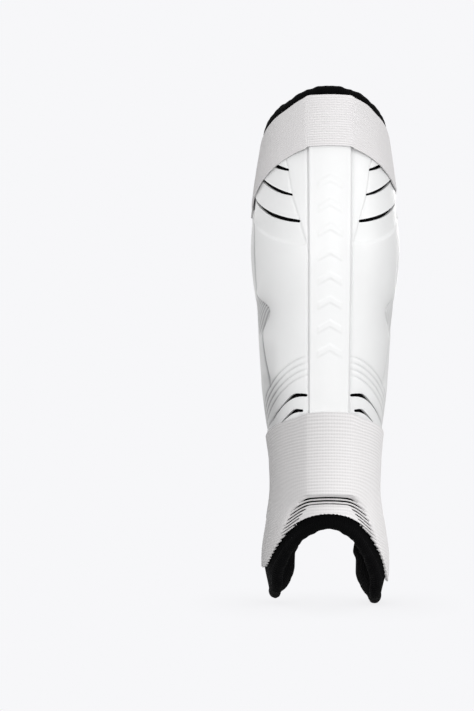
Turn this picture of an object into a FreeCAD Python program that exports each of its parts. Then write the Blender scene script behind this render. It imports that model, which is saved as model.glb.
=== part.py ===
"""Shin guard for field hockey: a ribbed hard shell over a foam liner, held by two elastic bands.

The guard stands as it is worn. +Z runs up the shin, the front faces -Y and the inner side of the leg is +X.
The origin is on the leg's axis, level with the bottom of the ankle lobes. All sizes are in millimetres.
Every layer is the leg's own form, grown or shrunk by an offset, between two outlines drawn from the side.
"""
import math
import os

import FreeCAD
import Part
import Sketcher

# Leg form: height, half width, half depth and centre in y of each elliptical section, under the shell's skin.
STATIONS = [
    (-8.0, 39.6, 46.0, 0.0),
    (36.0, 42.7, 51.5, -1.0),
    (56.0, 39.8, 50.0, -1.5),
    (74.0, 37.1, 47.0, -1.0),
    (98.0, 37.5, 45.5, 0.0),
    (155.0, 43.8, 51.0, 1.0),
    (192.0, 46.4, 55.0, 1.0),
    (248.0, 52.2, 60.5, 1.5),
    (285.0, 48.8, 59.0, 0.5),
    (320.0, 43.6, 55.7, -0.5),
    (365.0, 35.4, 50.5, -1.0),
]

# Offsets of each layer's faces from the leg form.
OFFSETS = {
    "spine_top": 3.0,
    "shell_out": 0.0,
    "shell_in": -2.4,
    "face_out": -2.5,
    "face_in": -3.2,
    "foam_out": -3.3,
    "foam_in": -8.8,
    "lining_out": -8.9,
    "lining_in": -9.7,
    "pad_out": -9.8,
    "pad_in": -19.3,
    "band_in": 0.4,
    "band_out": 1.7,
    "bridge_in": 3.4,
    "bridge_out": 4.7,
    "patch_in": 1.8,
    "loop_out": 2.5,
    "hook_in": 2.8,
    "patch_out": 3.5,
    "strap_in": 3.6,
    "strap_out": 4.9,
    "grip_out": 5.7,
}

# Outlines from the side, as (y, z). A three-number entry (y, z, "arc") is the middle point of an arc.
SIDE_OUTLINES = {
    "shell_side": [
        (-80.0, 356.6), (2.0, 298.6), (8.0, 292.0, "arc"), (10.0, 284.0), (11.0, 235.0),
        (7.0, 120.0), (14.0, 66.0), (9.0, 42.0, "arc"), (-8.0, 36.0), (-30.0, 49.0), (-80.0, 136.5),
    ],
    "liner_side": [
        (-80.0, 366.0), (-25.0, 343.0), (0.0, 333.5), (7.5, 327.5), (14.0, 315.5, "arc"), (15.5, 302.0),
        (17.0, 250.0), (13.0, 130.0), (18.0, 90.0), (27.0, 48.0), (19.0, 6.5, "arc"), (-12.0, 2.0),
        (-18.0, 3.5), (-80.0, 101.0),
    ],
    "upper_band_side": [
        (-80.0, 359.0), (-53.5, 346.0), (-13.0, 328.5), (2.0, 321.0), (80.0, 294.0), (80.0, 258.0),
        (0.0, 277.6), (-80.0, 323.2),
    ],
    "lower_band_side": [
        (-80.0, 144.6), (0.0, 115.8), (42.0, 104.0), (42.0, 34.0), (10.0, 17.5, "arc"), (-17.0, 20.5),
        (-80.0, 104.0),
    ],
    "lower_strap_side": [(-80.0, 98.0), (80.0, 98.0), (80.0, 56.0), (-80.0, 56.0)],
}

# Outlines from the front, as (x, z), on the +X side; the other side is its mirror image.
SPINE_FRONT = [(-14.6, 360.0), (14.6, 360.0), (13.0, 60.0), (-13.0, 60.0)]
VENTS_FRONT = [
    [(27.0, 296.0), (37.0, 300.4), (46.0, 306.0), (45.2, 308.4), (36.4, 302.4), (27.0, 297.6)],
    [(24.6, 278.8), (35.6, 283.8), (45.6, 291.6), (44.8, 293.6), (35.0, 285.8), (24.6, 280.4)],
    [(20.2, 261.2), (33.2, 264.9), (43.0, 270.0), (50.4, 278.2), (49.8, 280.2), (42.2, 272.1), (32.8, 266.9),
     (20.2, 262.6)],
    [(14.9, 144.6), (22.6, 144.2), (27.6, 139.4), (33.6, 132.2), (39.2, 121.4), (39.8, 122.0), (34.2, 133.8),
     (27.8, 142.2), (23.2, 146.8), (14.9, 146.8)],
    [(16.6, 134.2), (22.0, 133.8), (28.6, 128.2), (31.0, 126.4), (29.0, 129.8), (22.6, 136.6), (16.6, 136.2)],
]

# Places along the straps, measured back from the leg's axis.
PLACES = {
    "upper_anchor_start": 24.0,
    "upper_anchor_end": 38.0,
    "upper_loop_start": 29.0,
    "upper_loop_end": 52.0,
    "upper_tab_hinge": 55.4,
    "lower_anchor_start": 15.0,
    "lower_anchor_end": 28.0,
    "lower_loop_start": 25.0,
    "lower_loop_end": 40.0,
    "lower_tab_hinge": 43.2,
    "hinge_gap": 6.0,
    "tab_gap": 2.4,
    "grip_length": 9.0,
    "binding_width": 3.6,
    "pad_radius": 17.5,
    "pad_centre_y": -1.0,
    "pad_centre_z": 26.0,
    "reach": 90.0,
}

doc = FreeCAD.newDocument("shin_guard")
sheet = doc.addObject("Spreadsheet::Sheet", "dims")
used_rows = [0]


def cell(alias, value):
    """Writes a driving dimension to the sheet and returns the expression that reads it."""
    used_rows[0] += 1
    row = used_rows[0]
    sheet.set(f"A{row}", alias)
    sheet.set(f"B{row}", str(value))
    sheet.setAlias(f"B{row}", alias)
    return f"dims.{alias}"


for number, station in enumerate(STATIONS):
    for quantity, size in zip(("height", "half_width", "half_depth", "centre"), station):
        cell(f"{quantity}_{number:02d}", size)
for alias, size in {**OFFSETS, **PLACES}.items():
    cell(alias, size)
doc.recompute()


def value(alias):
    """A driving dimension's number, read back from the sheet."""
    return float(getattr(sheet, alias))


forms = {}


def leg_form(offset):
    """The closed solid of the leg's form, grown by the offset of that name."""
    if offset in forms:
        return forms[offset]
    rings = []
    for number in range(len(STATIONS)):
        ring = doc.addObject("Part::Ellipse", f"{offset}_ring_{number:02d}")
        ring.MajorRadius = 60
        ring.MinorRadius = 40
        ring.setExpression("MajorRadius", f"dims.half_depth_{number:02d} + dims.{offset}")
        ring.setExpression("MinorRadius", f"dims.half_width_{number:02d} + dims.{offset}")
        ring.Placement.Rotation = FreeCAD.Rotation(FreeCAD.Vector(0, 0, 1), 90)
        ring.setExpression(".Placement.Base.y", f"dims.centre_{number:02d}")
        ring.setExpression(".Placement.Base.z", f"dims.height_{number:02d}")
        rings.append(ring)
    form = doc.addObject("Part::Loft", f"{offset}_form")
    form.Sections = rings
    form.Solid = True
    form.Ruled = False
    forms[offset] = form
    return form


def arc_through(first, middle, last):
    """A sketch arc through three points, and whether it runs counter-clockwise from first to last."""
    circle = Part.Arc(*[FreeCAD.Vector(*point, 0) for point in (first, middle, last)]).toShape().Curve
    centre = circle.Center
    angles = [math.atan2(y - centre.y, x - centre.x) for x, y in (first, last)]
    turn = (middle[0] - first[0]) * (last[1] - middle[1]) - (middle[1] - first[1]) * (last[0] - middle[0])
    forward = turn > 0
    if not forward:
        angles.reverse()
    if angles[1] < angles[0]:
        angles[1] += 2 * math.pi
    flat = Part.Circle(centre, FreeCAD.Vector(0, 0, 1), circle.Radius)
    return Part.ArcOfCircle(flat, *angles), forward


def outline(name, points, turn):
    """A closed sketch of lines and arcs, whose corners and radii are bound to cells of the sheet."""
    sketch = doc.addObject("Sketcher::SketchObject", name)
    sketch.Placement.Rotation = turn
    corners = [point for point in points if len(point) == 2]
    edges = []
    for first, last in zip(corners, corners[1:] + corners[:1]):
        after = points[(points.index(first) + 1) % len(points)]
        if len(after) == 3:
            curve, forward = arc_through(first, after[:2], last)
            edge = sketch.addGeometry(curve, False)
            edges.append((edge, 1, 2) if forward else (edge, 2, 1))
            bound = cell(f"{name}_radius_{edge}", round(curve.Radius, 3))
            sketch.addConstraint(Sketcher.Constraint("Radius", edge, round(curve.Radius, 3)))
            sketch.setExpression(f"Constraints[{sketch.ConstraintCount - 1}]", bound)
        else:
            line = Part.LineSegment(FreeCAD.Vector(*first, 0), FreeCAD.Vector(*last, 0))
            edges.append((sketch.addGeometry(line, False), 1, 2))
    for number, (edge, start, end) in enumerate(edges):
        following = edges[(number + 1) % len(edges)]
        sketch.addConstraint(Sketcher.Constraint("Coincident", edge, end, following[0], following[1]))
        for kind, axis in (("DistanceX", 0), ("DistanceY", 1)):
            bound = cell(f"{name}_{'uv'[axis]}_{number}", corners[number][axis])
            sketch.addConstraint(Sketcher.Constraint(kind, -1, 1, edge, start, corners[number][axis]))
            sketch.setExpression(f"Constraints[{sketch.ConstraintCount - 1}]", bound)
    return sketch


def extruded(name, sketch, both_ways):
    """A solid prism of a sketch, along its normal for the reach, or that far both ways."""
    prism = doc.addObject("Part::Extrusion", name)
    prism.Base = sketch
    prism.DirMode = "Normal"
    prism.setExpression("LengthFwd", "dims.reach * 2" if both_ways else "dims.reach")
    prism.Symmetric = both_ways
    prism.Solid = True
    return prism


FROM_THE_SIDE = FreeCAD.Rotation(FreeCAD.Vector(1, 1, 1), 120)
FROM_THE_FRONT = FreeCAD.Rotation(FreeCAD.Vector(1, 0, 0), 90)


def block(name, low, high):
    """A box between two corners, each coordinate an expression."""
    box = doc.addObject("Part::Box", name)
    for side, axis, least, most in zip(("Length", "Width", "Height"), "xyz", low, high):
        box.setExpression(side, f"({most}) - ({least})")
        box.setExpression(f".Placement.Base.{axis}", least)
    return box


def common(name, *shapes):
    made = doc.addObject("Part::MultiCommon", name)
    made.Shapes = list(shapes)
    return made


def fused(name, *shapes):
    made = doc.addObject("Part::MultiFuse", name)
    made.Shapes = list(shapes)
    return made


def cut(name, base, tool):
    made = doc.addObject("Part::Cut", name)
    made.Base = base
    made.Tool = tool
    return made


def mirrored(name, source):
    """The mirror image of a shape across the guard's middle plane."""
    made = doc.addObject("Part::Mirroring", name)
    made.Source = source
    made.Base = FreeCAD.Vector(0, 0, 0)
    made.Normal = FreeCAD.Vector(1, 0, 0)
    return made


def wall(name, outer, inner):
    """The tube between two offsets of the leg form."""
    return cut(f"{name}_wall", leg_form(outer), leg_form(inner))


nodes = []


def node(made, label):
    """Marks a shape as a sub-part of that name."""
    made.Label = label
    nodes.append(made)
    return made


side = {
    name: extruded(f"{name}_prism", outline(name, points, FROM_THE_SIDE), True)
    for name, points in SIDE_OUTLINES.items()
}
spine_prism = extruded("spine_prism", outline("spine_front", SPINE_FRONT, FROM_THE_FRONT), False)


def outer_shell():
    """The moulded shell: a ribbed half tube with a raised spine and five vents on each side."""
    plate = common("shell_plate", wall("shell", "shell_out", "shell_in"), side["shell_side"])
    rib = common("spine_rib", wall("spine", "spine_top", "shell_in"), side["shell_side"], spine_prism)
    slots = []
    for number, points in enumerate(VENTS_FRONT):
        slot = extruded(f"vent_{number}", outline(f"vent_front_{number}", points, FROM_THE_FRONT), False)
        slots += [slot, mirrored(f"vent_mirror_{number}", slot)]
    body = fused("shell_body", plate, rib)
    return node(cut("vented_shell", body, fused("vents", *slots)), "outer_shell")


def liner():
    """The bound liner: face fabric, foam, skin-side lining and the binding round their edge."""
    inset = doc.addObject("Part::Offset2D", "liner_inset")
    inset.Source = doc.getObject("liner_side")
    inset.Value = -value("binding_width")
    inset.setExpression("Value", "-dims.binding_width")
    inner = extruded("liner_inset_prism", inset, True)
    inner.DirMode = "Custom"
    inner.Dir = FreeCAD.Vector(1, 0, 0)
    layers = (
        ("liner_face_fabric", "face_out", "face_in"),
        ("liner_foam", "foam_out", "foam_in"),
        ("liner_lining", "lining_out", "lining_in"),
    )
    for label, outer, inside in layers:
        node(common(f"{label}_sheet", wall(label, outer, inside), inner), label)
    whole = common("liner_whole", wall("binding", "face_out", "lining_in"), side["liner_side"])
    node(cut("binding_ring", whole, inner), "liner_binding")


def ankle_pads():
    """A round pad for each ankle bone, on the skin side of the lobes."""
    disc = doc.addObject("Part::Cylinder", "pad_disc")
    disc.setExpression("Radius", "dims.pad_radius")
    disc.setExpression("Height", "dims.reach")
    disc.Placement.Rotation = FreeCAD.Rotation(FreeCAD.Vector(0, 1, 0), 90)
    disc.setExpression(".Placement.Base.y", "dims.pad_centre_y")
    disc.setExpression(".Placement.Base.z", "dims.pad_centre_z")
    inner = common("pad_inner", wall("pad", "pad_out", "pad_in"), disc)
    node(inner, "ankle_pad_inner")
    node(mirrored("pad_outer", inner), "ankle_pad_outer")


def band(which, inner_end, outer_end):
    """A front band: it wraps the shell and steps over the spine, and ends behind the leg's widest line."""
    ends = fused(
        f"{which}_band_reach",
        block(f"{which}_inner_reach", ("0", "-dims.reach", "0"), ("dims.reach", inner_end, "400")),
        block(f"{which}_outer_reach", ("-dims.reach", "-dims.reach", "0"), ("0", outer_end, "400")),
    )
    corridor = common(f"{which}_band_corridor", side[f"{which}_band_side"], ends)
    flat = cut(f"{which}_band_flat", common(f"{which}_band_outside", leg_form("band_out"), corridor),
               leg_form("band_in"))
    sides = cut(f"{which}_band_sides", flat, doc.getObject("hump_inner"))
    arch_wall = cut(f"{which}_arch_wall", leg_form("bridge_out"), leg_form("bridge_in"))
    arch = common(f"{which}_band_arch", arch_wall, corridor, doc.getObject("hump_outer"))
    jamb = cut(f"{which}_jamb_wall", common(f"{which}_jamb_block", leg_form("bridge_out"), corridor,
               doc.getObject("hump_outer")), fused(f"{which}_jamb_gap", leg_form("band_in"),
               doc.getObject("hump_inner")))
    node(fused(f"{which}_band_whole", sides, arch, jamb), f"{which}_front_band")


def humps():
    """Prisms over the spine: the outer one bounds the bands' raised strip, the inner one clears it."""
    for name, margin in (("hump_outer", 2.0), ("hump_inner", 0.7)):
        points = [(x + math.copysign(margin, x), z) for x, z in SPINE_FRONT]
        extruded(name, outline(f"{name}_front", points, FROM_THE_FRONT), False)


def side_piece(label, outer, inner, corridor, low, high):
    """A patch or strap: a layer of the leg form within a corridor and a box."""
    name = f"{label}_piece"
    box = block(f"{name}_box", low, high)
    return node(common(name, wall(label, outer, inner), corridor, box), label)


def strap(which, corridor, corridor_low, corridor_high):
    """The rear strap, its sewn anchor, and the tab that hooks on the loop patch at the outer side."""
    inner, outer = ("0", "dims.reach"), ("-dims.reach", "0")
    anchor_start, anchor_end = f"dims.{which}_anchor_start", f"dims.{which}_anchor_end"
    loop_start, loop_end = f"dims.{which}_loop_start", f"dims.{which}_loop_end"
    tab_hinge = f"dims.{which}_tab_hinge"
    span = (corridor_low, corridor_high)
    side_piece(f"{which}_anchor_patch", "patch_out", "patch_in", corridor,
               (inner[0], anchor_start, span[0]), (inner[1], anchor_end, span[1]))
    side_piece(f"{which}_anchor_strap", "strap_out", "strap_in", corridor,
               (inner[0], anchor_start, span[0]), (inner[1], anchor_end, span[1]))
    side_piece(f"{which}_loop_patch", "loop_out", "patch_in", corridor,
               (outer[0], loop_start, span[0]), (outer[1], loop_end, span[1]))
    side_piece(f"{which}_hook_patch", "patch_out", "hook_in", corridor,
               (outer[0], f"{loop_start} + dims.grip_length / 2", span[0]), (outer[1], loop_end, span[1]))
    side_piece(f"{which}_tab", "strap_out", "strap_in", corridor,
               (outer[0], f"{loop_start} + dims.grip_length / 2", span[0]),
               (outer[1], f"{tab_hinge} - dims.tab_gap", span[1]))
    side_piece(f"{which}_grip", "grip_out", "hook_in", corridor,
               (outer[0], f"{loop_start} - dims.grip_length / 2", span[0]),
               (outer[1], f"{loop_start} + dims.grip_length / 2 - 0.1", span[1]))
    ring = common(f"{which}_ring", wall(f"{which}_rear", "strap_out", "strap_in"), corridor)
    ends = fused(
        f"{which}_rear_ends",
        block(f"{which}_front_half", ("0", "-dims.reach", "-20"),
              ("dims.reach", f"{anchor_end} + dims.hinge_gap", "400")),
        block(f"{which}_tab_end", ("-dims.reach", "-dims.reach", "-20"),
              ("0", f"{tab_hinge} + dims.tab_gap", "400")),
    )
    node(cut(f"{which}_rear_cut", ring, ends), f"{which}_rear_strap")


outer_shell()
liner()
ankle_pads()
humps()
band("upper", "dims.upper_anchor_end", "dims.upper_loop_end")
band("lower", "dims.lower_anchor_end", "dims.lower_loop_end")
strap("upper", side["upper_band_side"], "200", "400")
strap("lower", side["lower_strap_side"], "0", "200")

doc.recompute()
for made in doc.Objects:
    if "Invalid" in made.State or "Error" in made.State:
        raise RuntimeError(f"{made.Name} failed to build: {made.State}")
os.makedirs("parts", exist_ok=True)
for made in nodes:
    if made.Shape.isNull() or not made.Shape.isValid() or not made.Shape.Solids:
        raise RuntimeError(f"{made.Label} isn't a valid solid")
for made in nodes:
    made.Shape.exportStep(f"parts/{made.Label}.step")
    print(f"{made.Label}: {len(made.Shape.Solids)} solids, {made.Shape.Volume / 1000:.2f} cm3")
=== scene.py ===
"""The looks of the field hockey shin guard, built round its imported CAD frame.

Sizes are in millimetres until a mesh is made. Most pieces are drawn on the unrolled leg form: s is the
distance round it from the front's middle, positive on the inner side, z is the height, and an offset lifts
a point off it. Soft pieces get their shape from displacement, with no simulation.
"""

import math

import bmesh
import bpy
import numpy as np
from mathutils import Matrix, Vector


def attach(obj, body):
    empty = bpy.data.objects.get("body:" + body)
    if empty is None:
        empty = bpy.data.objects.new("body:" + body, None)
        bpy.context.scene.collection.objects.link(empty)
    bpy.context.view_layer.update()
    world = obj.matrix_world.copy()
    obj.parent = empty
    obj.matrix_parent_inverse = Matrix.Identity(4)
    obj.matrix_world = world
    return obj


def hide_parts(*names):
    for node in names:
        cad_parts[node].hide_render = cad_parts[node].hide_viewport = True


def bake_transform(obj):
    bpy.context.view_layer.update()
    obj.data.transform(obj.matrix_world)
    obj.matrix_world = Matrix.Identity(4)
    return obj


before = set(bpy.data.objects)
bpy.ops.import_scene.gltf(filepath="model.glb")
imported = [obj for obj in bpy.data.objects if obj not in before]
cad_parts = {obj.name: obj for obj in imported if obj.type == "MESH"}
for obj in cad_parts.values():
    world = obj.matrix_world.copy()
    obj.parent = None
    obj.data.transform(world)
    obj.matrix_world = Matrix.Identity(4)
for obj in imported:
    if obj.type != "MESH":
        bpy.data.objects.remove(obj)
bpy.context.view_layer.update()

MM = 0.001
TAU = 2 * math.pi
UPPER_RIBS = 21
LOWER_RIB = 2.1
STRAP_OFFSET = 4
STRAP_RIBS = 20
EYE_DISTANCE = 1100.0
VIEW_HALF_WIDTH = 165.9
ROOM_WHITE = (0.93, 0.93, 0.947)

# Height, half width, half depth and centre in y of the leg form, as in the CAD model.
STATIONS = np.array([
    (-8.0, 39.6, 46.0, 0.0), (36.0, 42.7, 51.5, -1.0), (56.0, 39.8, 50.0, -1.5), (74.0, 37.1, 47.0, -1.0),
    (98.0, 37.5, 45.5, 0.0), (155.0, 43.8, 51.0, 1.0), (192.0, 46.4, 55.0, 1.0), (248.0, 52.2, 60.5, 1.5),
    (285.0, 48.8, 59.0, 0.5), (320.0, 43.6, 55.7, -0.5), (365.0, 35.4, 50.5, -1.0),
])

# Edges seen from the side, as (y, z). A three-number entry is the middle of an arc.
SHELL_EDGE = [
    (-80.0, 356.6), (2.0, 298.6), (8.0, 292.0, "arc"), (10.0, 284.0), (11.0, 235.0),
    (7.0, 120.0), (14.0, 66.0), (9.0, 42.0, "arc"), (-8.0, 36.0), (-30.0, 52.5), (-80.0, 143.0),
]
LINER_EDGE = [
    (-80.0, 365.0), (-53.0, 352.3), (-25.0, 343.2), (0.0, 334.0), (8.0, 328.0), (14.5, 316.0, "arc"),
    (15.5, 302.0), (17.0, 250.0), (13.0, 130.0), (18.0, 90.0), (27.0, 48.0), (19.0, 4.5, "arc"),
    (-12.0, 1.0), (-19.0, 4.0), (-80.0, 101.0),
]
UPPER_BAND_TOP = [(-80.0, 359.0), (-53.5, 345.6), (-13.0, 328.2), (2.0, 321.0), (80.0, 294.0)]
UPPER_BAND_LOW = [(-80.0, 325.2), (-40.0, 301.4), (0.0, 277.6), (80.0, 258.0)]
LOWER_BAND_TOP = [(-80.0, 144.6), (0.0, 115.8), (42.0, 104.0)]
LOWER_BAND_EDGE = [
    (-80.0, 144.6), (0.0, 115.8), (60.0, 99.0), (60.0, 34.0), (44.0, 31.0), (10.0, 17.5, "arc"),
    (-17.0, 20.5), (-21.8, 27.0), (-33.1, 44.5), (-38.0, 52.5), (-43.0, 59.5), (-47.5, 65.0), (-51.4, 68.0),
    (-80.0, 104.0),
]


# ---------------------------------------------------------------- the leg form

def tangents(heights, values):
    """Slopes of a smooth curve through the points."""
    gaps = np.diff(heights)
    rises = np.diff(values) / gaps
    inner = (rises[:-1] * gaps[1:] + rises[1:] * gaps[:-1]) / (gaps[:-1] + gaps[1:])
    return np.concatenate([rises[:1], inner, rises[-1:]])


TANGENTS = [tangents(STATIONS[:, 0], STATIONS[:, column]) for column in (1, 2, 3)]


def sections(z):
    """Half width, half depth and centre in y of the leg form at each height."""
    heights = STATIONS[:, 0]
    i = np.clip(np.searchsorted(heights, z) - 1, 0, len(heights) - 2)
    gap = heights[i + 1] - heights[i]
    t = (z - heights[i]) / gap
    low, low_slope = 2 * t**3 - 3 * t**2 + 1, gap * (t**3 - 2 * t**2 + t)
    high, high_slope = 3 * t**2 - 2 * t**3, gap * (t**3 - t**2)
    return [
        low * column[i] + low_slope * slope[i] + high * column[i + 1] + high_slope * slope[i + 1]
        for column, slope in zip(STATIONS[:, 1:].T, TANGENTS)
    ]


HEIGHTS = np.arange(-20.0, 382.0, 2.0)
ANGLES = np.linspace(0.0, math.pi, 541)
REACHES = np.arange(0.0, 200.0, 0.5)


def arc_table():
    """Distance round the form from the front, for each height and angle."""
    width, depth, _ = sections(HEIGHTS)
    speed = np.hypot(width[:, None] * np.cos(ANGLES), depth[:, None] * np.sin(ANGLES))
    steps = (speed[:, 1:] + speed[:, :-1]) / 2 * ANGLES[1]
    return np.concatenate([np.zeros((len(HEIGHTS), 1)), np.cumsum(steps, axis=1)], axis=1)


ARCS = arc_table()
TURNS = np.array([np.interp(REACHES, row, ANGLES) for row in ARCS])


def looked_up(table, column, z):
    """A table's values between its rows and columns."""
    row = np.clip((z - HEIGHTS[0]) / 2.0, 0, len(HEIGHTS) - 1.001)
    column = np.clip(column, 0, table.shape[1] - 1.001)
    i, j = row.astype(int), column.astype(int)
    p, q = row - i, column - j
    low = table[i, j] * (1 - q) + table[i, j + 1] * q
    high = table[i + 1, j] * (1 - q) + table[i + 1, j + 1] * q
    return low * (1 - p) + high * p


def angle_at(s, z):
    return np.sign(s) * looked_up(TURNS, np.abs(s) / 0.5, z)


def distance_at(angle, z):
    return np.sign(angle) * looked_up(ARCS, np.abs(angle) / ANGLES[1], z)


def smooth(value, low, high):
    """0 below low, 1 above high, and an even S between."""
    t = np.clip((value - low) / (high - low), 0, 1)
    return t * t * (3 - 2 * t)


def at_angle(angle, z, offset):
    """Points at an angle round the form."""
    width, depth, centre = sections(z)
    x = (width + offset) * np.sin(angle)
    y = centre - (depth + offset) * np.cos(angle)
    return np.stack([x, y, z], axis=-1)


def place(s, z, offset):
    """Points at a distance round the form, with the outer lobe a little shorter than the inner one."""
    short = 5.0 * smooth(-s, 0, 45) * (1 - smooth(z, 15, 75))
    short += 1.2 * smooth(s, 20, 50) * (1 - smooth(z, 0, 30))
    crown = -(2.0 * smooth(-s, 14, 34) + 1.6 * smooth(s, 28, 40)) * smooth(z, 312, 328)
    crown += 0.5 * bump_at(np.abs(s) - 9, 9) * smooth(z, 330, 340)
    wide = 1.0 * smooth(-s, 45, 75) * smooth(z, 96, 116) * (1 - smooth(z, 190, 210))
    return at_angle(angle_at(s, z), z + short + crown, offset + wide)


def bump_at(value, width):
    """A round ridge, 1 where value is 0."""
    return np.exp(-((value / width) ** 2))


# ---------------------------------------------------------------- lines on the unrolled form

def distance_to(y, z):
    """Distance round the form from the front to a depth y, at one height."""
    z = np.array([z])
    _, depth, centre = sections(z)
    return float(distance_at(np.arccos(np.clip((centre - y) / depth, -1, 1)), z)[0])


def curve_through(points, step=1.0):
    """A smooth dense path through a few points."""
    points = np.array(points, float)
    ends = np.vstack([2 * points[0] - points[1], points, 2 * points[-1] - points[-2]])
    path = []
    for a, b, c, d in zip(ends, ends[1:], ends[2:], ends[3:]):
        count = max(2, int(np.hypot(*(c[:2] - b[:2])) / step))
        for t in np.arange(count) / count:
            path.append(0.5 * (2 * b + (c - a) * t + (2 * a - 5 * b + 4 * c - d) * t**2
                               + (3 * b - a - 3 * c + d) * t**3))
    path.append(points[-1])
    return np.array(path)


def side_path(points, step=1.5):
    """The side view's edge as a dense path of (y, z), with its arcs drawn."""
    path = []
    corners = [point for point in points if len(point) == 2]
    for first, last in zip(corners, corners[1:]):
        after = points[points.index(first) + 1]
        arc = len(after) == 3
        count = max(6 if arc else 1, int(math.dist(first, last) / step))
        t = np.arange(count)[:, None] / count
        first, last = np.array(first), np.array(last)
        if arc:
            middle = 2 * np.array(after[:2]) - (first + last) / 2
            path.append((1 - t)**2 * first + 2 * t * (1 - t) * middle + t**2 * last)
        else:
            path.append((1 - t) * first + t * last)
    path.append(np.array([corners[-1]], float))
    return np.vstack(path)


def unrolled(points, rounding=5):
    """Half of a symmetric edge on the unrolled form, from the front's middle and back to it."""
    path = side_path(points)
    for _ in range(rounding):
        path[1:-1] = (path[:-2] + 2 * path[1:-1] + path[2:]) / 4
    _, depth, centre = sections(path[:, 1])
    cosine = (centre - path[:, 0]) / depth
    found = np.flatnonzero(cosine < 1)
    first, last = found[0], found[-1]
    pieces = []
    for outside, inside in ((first - 1, first), (last + 1, last)):
        share = (cosine[outside] - 1) / (cosine[outside] - cosine[inside])
        height = path[outside, 1:] + share * (path[inside, 1:] - path[outside, 1:])
        squares = (np.arange(12) / 12)[:, None] ** 2
        _, depth, centre = sections(height)
        start = np.concatenate([centre - depth, height])
        pieces.append(start + squares * (path[inside] - start))
    path = np.vstack([pieces[0], path[first:last + 1], pieces[1][::-1]])
    _, depth, centre = sections(path[:, 1])
    turn = np.arccos(np.clip((centre - path[:, 0]) / depth, -1, 1))
    return np.stack([distance_at(turn, path[:, 1]), path[:, 1]], axis=1)


def to_path(s, z, path):
    """Distance to a path, length along it to the nearest point, its side, and whether it closes round."""
    best = np.full(s.shape, 1e12)
    along, side = np.zeros(s.shape), np.zeros(s.shape)
    inside = np.zeros(s.shape, bool)
    start = 0.0
    for p, q in zip(path[:, :2], path[1:, :2]):
        ds, dz = q - p
        length = math.hypot(ds, dz)
        if length < 1e-9:
            continue
        t = np.clip(((s - p[0]) * ds + (z - p[1]) * dz) / length**2, 0, 1)
        off_s, off_z = s - p[0] - t * ds, z - p[1] - t * dz
        gap = off_s**2 + off_z**2
        closer = gap < best
        best = np.where(closer, gap, best)
        along = np.where(closer, start + t * length, along)
        side = np.where(closer, np.sign(ds * off_z - dz * off_s), side)
        if dz:
            inside ^= ((z >= p[1]) != (z >= q[1])) & (s < p[0] + (z - p[1]) * ds / dz)
        start += length
    return np.sqrt(best), along, side, inside


def side_gap(s, z, path):
    """Distance to a path, positive on its left side."""
    gap, _, side, _ = to_path(s, z, path)
    return gap * side


def depth_inside(s, z, path):
    """How far a point is inside a symmetric edge, negative outside, and the length along the edge."""
    gap, along, _, inside = to_path(np.abs(s), z, path)
    return np.where(inside, gap, -gap), along


def line_height(s, line, start):
    """Height of a side view's line on the form, at each distance round it."""
    ys, zs = np.array(line).T
    z = np.full(np.shape(s), float(start))
    for _ in range(40):
        _, depth, centre = sections(z)
        y = centre - depth * np.cos(angle_at(s, z))
        z = 0.4 * z + 0.6 * np.interp(y, ys, zs)
    return z


# ---------------------------------------------------------------- meshes

def clipped(s, z, keep, snap=0.06):
    """The cells of a grid where keep is positive, trimmed along its zero line."""
    keep = np.where(np.abs(keep) < snap, 0.0, keep)
    kept = keep >= 0
    ids = np.full(s.shape, -1)
    ids[kept] = np.arange(kept.sum())
    new_s, new_z = list(s[kept]), list(z[kept])
    corners = np.stack([ids[:-1, :-1], ids[:-1, 1:], ids[1:, 1:], ids[1:, :-1]], axis=-1)
    count = (corners >= 0).sum(axis=-1)
    faces = corners[count == 4].tolist()
    crossings = {}
    for i, j in np.argwhere((count > 0) & (count < 4)):
        ring = [(i, j), (i, j + 1), (i + 1, j + 1), (i + 1, j)]
        face = []
        for here, there in zip(ring, ring[1:] + ring[:1]):
            if kept[here]:
                face.append(int(ids[here]))
            if kept[here] != kept[there] and keep[here] != 0 and keep[there] != 0:
                key = tuple(sorted((here, there)))
                if key not in crossings:
                    t = keep[here] / (keep[here] - keep[there])
                    crossings[key] = len(new_s)
                    new_s.append(s[here] + t * (s[there] - s[here]))
                    new_z.append(z[here] + t * (z[there] - z[here]))
                face.append(crossings[key])
        if len(face) > 2:
            faces.append(face)
    return np.array(new_s), np.array(new_z), faces


def grid_faces(rows, columns, wrap=False):
    """Quads of a grid of points, row by row."""
    faces = []
    for i in range(rows - 1):
        for j in range(columns if wrap else columns - 1):
            k = (j + 1) % columns
            faces.append([i * columns + j, i * columns + k, (i + 1) * columns + k, (i + 1) * columns + j])
    return faces


def rim_edges(faces):
    """Edges that only one face uses, in that face's direction."""
    seen = {}
    for face in faces:
        for a, b in zip(face, face[1:] + face[:1]):
            if (b, a) in seen:
                del seen[(b, a)]
            else:
                seen[(a, b)] = True
    return list(seen)


def make(name, points, faces, material, uv=None, sharp=38, weld=False):
    """An object with a mesh in metres, smooth but for its sharp edges."""
    mesh = bpy.data.meshes.new(name)
    mesh.from_pydata((np.asarray(points) * MM).tolist(), [], faces)
    if uv is not None:
        layer = mesh.uv_layers.new(name="surface")
        corners = np.empty(len(mesh.loops), np.int32)
        mesh.loops.foreach_get("vertex_index", corners)
        layer.data.foreach_set("uv", (np.asarray(uv)[corners] * 0.01).astype(np.float32).ravel())
    if weld:
        work = bmesh.new()
        work.from_mesh(mesh)
        bmesh.ops.remove_doubles(work, verts=work.verts, dist=1e-6)
        work.to_mesh(mesh)
        work.free()
    mesh.polygons.foreach_set("use_smooth", np.ones(len(mesh.polygons), bool))
    mesh.set_sharp_from_angle(angle=math.radians(sharp))
    mesh.materials.append(material)
    obj = bpy.data.objects.new(name, mesh)
    bpy.context.scene.collection.objects.link(obj)
    return obj


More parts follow.
